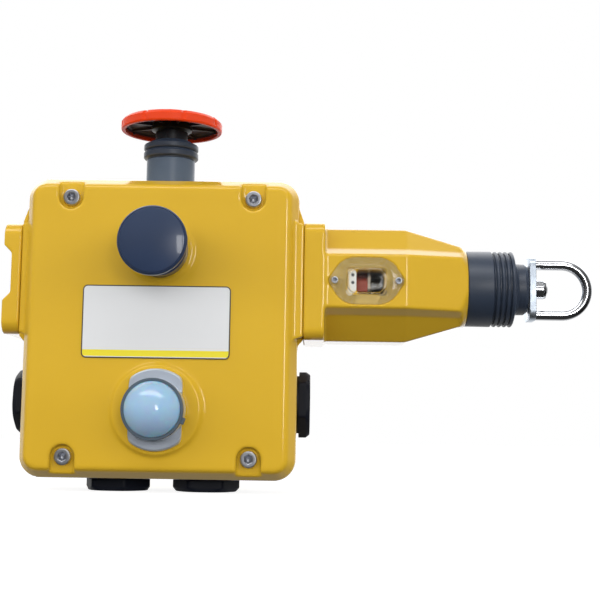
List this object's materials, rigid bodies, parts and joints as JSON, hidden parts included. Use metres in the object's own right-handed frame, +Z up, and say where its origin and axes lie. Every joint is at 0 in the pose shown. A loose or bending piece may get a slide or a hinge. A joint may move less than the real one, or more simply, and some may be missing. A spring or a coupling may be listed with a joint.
{
  "type": "rope pull switch",
  "caption": "Cast rope pull emergency stop switch: box with a rope arm and swivelling eye, stop mushroom, reset button, beacon and tension window.",
  "frame": {"origin": "on the rear mounting plane, straight behind the rope axis, at the middle of the box's width", "axes": "+X along the rope towards its eye, +Y out of the back into the wall, +Z up; the lid faces -Y"},
  "size_m": [0.3074, 0.1, 0.2024],
  "materials": {
    "yellow_casting": "semi-gloss baked paint on a die casting",
    "seal_rubber": "matt",
    "zinc_screw": "zinc plated",
    "label_white": "satin film",
    "bronze": "turned sintered bronze",
    "clear_window": "clear polycarbonate",
    "window_seal": "translucent silicone that takes up the paint below it",
    "rod_steel": "ground bar",
    "spring_steel": "drawn wire",
    "flag_red": "moulded",
    "cam_plastic": "moulded acetal",
    "boot_rubber": "satin moulded rubber",
    "bright_zinc": "bright zinc plate",
    "sheet_steel": "zinc plated sheet",
    "switch_plastic": "moulded, fine grain",
    "terminal_green": "moulded",
    "earth_brass": "turned",
    "stop_red": "moulded, semi-gloss",
    "sleeve_grey": "moulded",
    "reset_blue": "moulded, gloss",
    "beacon_chrome": "plated moulding",
    "board_green": "solder resist",
    "led_white": "moulded",
    "lens_pale": "diffusing dome",
    "plug_black": "moulded polyamide"
  },
  "bodies": {
    "housing": {"body": "yellow_casting", "lid": "yellow_casting", "end_cover": "yellow_casting", "arm_housing": "yellow_casting", "lid_gasket": "seal_rubber", "end_o_ring": "seal_rubber", "arm_o_ring": "seal_rubber", "beacon_seal": "seal_rubber", "plug_seals": "seal_rubber", "lid_screws": "zinc_screw", "end_cover_screws": "zinc_screw", "arm_screws": "zinc_screw", "window_screws": "zinc_screw", "plate_screws": "zinc_screw", "block_screws": "zinc_screw", "terminal_screws": "zinc_screw", "label_plate": "label_white", "tension_scale": "label_white", "rear_bush": "bronze", "nose_bush": "bronze", "window_cover": "clear_window", "window_gasket": "window_seal", "main_spring": "spring_steel", "estop_spring": "spring_steel", "reset_spring": "spring_steel", "rod_boot": "boot_rubber", "estop_bellows": "boot_rubber", "mechanism_plate": "sheet_steel", "contact_blocks": "switch_plastic", "latch_block": "switch_plastic", "estop_nut": "switch_plastic", "reset_nut": "switch_plastic", "terminal_strip": "terminal_green", "earth_screw": "earth_brass", "estop_sleeve": "sleeve_grey", "reset_bezel": "reset_blue", "beacon_base": "beacon_chrome", "beacon_board": "board_green", "beacon_leds": "led_white", "beacon_lens": "lens_pale", "conduit_plugs": "plug_black"},
    "pull_shaft": {"pull_rod": "rod_steel", "spring_seat": "rod_steel", "tension_flag": "flag_red", "flag_stripe": "label_white", "contact_cam": "cam_plastic", "eye_nut": "bright_zinc"},
    "eye": {"eye_plate": "bright_zinc", "rope_eye": "bright_zinc"},
    "plungers": {"contact_plungers": "cam_plastic"},
    "stop_head": {"estop_cap": "stop_red", "estop_hub": "switch_plastic", "estop_stem": "rod_steel"},
    "reset_head": {"reset_button": "reset_blue", "reset_shaft": "rod_steel"}
  },
  "joints": [
    {"name": "rope_pull", "type": "slide", "parent": "housing", "child": "pull_shaft", "axis": [1, 0, 0], "range_m": [0, 0.014], "stiffness_N_per_m": 4000, "springref_m": -0.01, "deforming": ["main_spring", "rod_boot"]},
    {"name": "eye_swivel", "type": "hinge", "parent": "pull_shaft", "child": "eye", "pos_m": [0.1926, -0.032, 0], "axis": [1, 0, 0], "continuous": true},
    {"name": "plunger_slide", "type": "slide", "parent": "housing", "child": "plungers", "axis": [0, 0, -1], "range_m": [0, 0.0036]},
    {"name": "stop_press", "type": "slide", "parent": "housing", "child": "stop_head", "axis": [0, 0, -1], "range_m": [0, 0.006], "stiffness_N_per_m": 1500, "springref_m": -0.004, "deforming": ["estop_spring", "estop_bellows"]},
    {"name": "reset_press", "type": "slide", "parent": "housing", "child": "reset_head", "axis": [0, 1, 0], "range_m": [0, 0.005], "stiffness_N_per_m": 900, "springref_m": -0.004, "deforming": ["reset_spring"]}
  ],
  "couplings": [
    {"joint": "plunger_slide", "follows": "rope_pull", "ratio": 0.25}
  ]
}
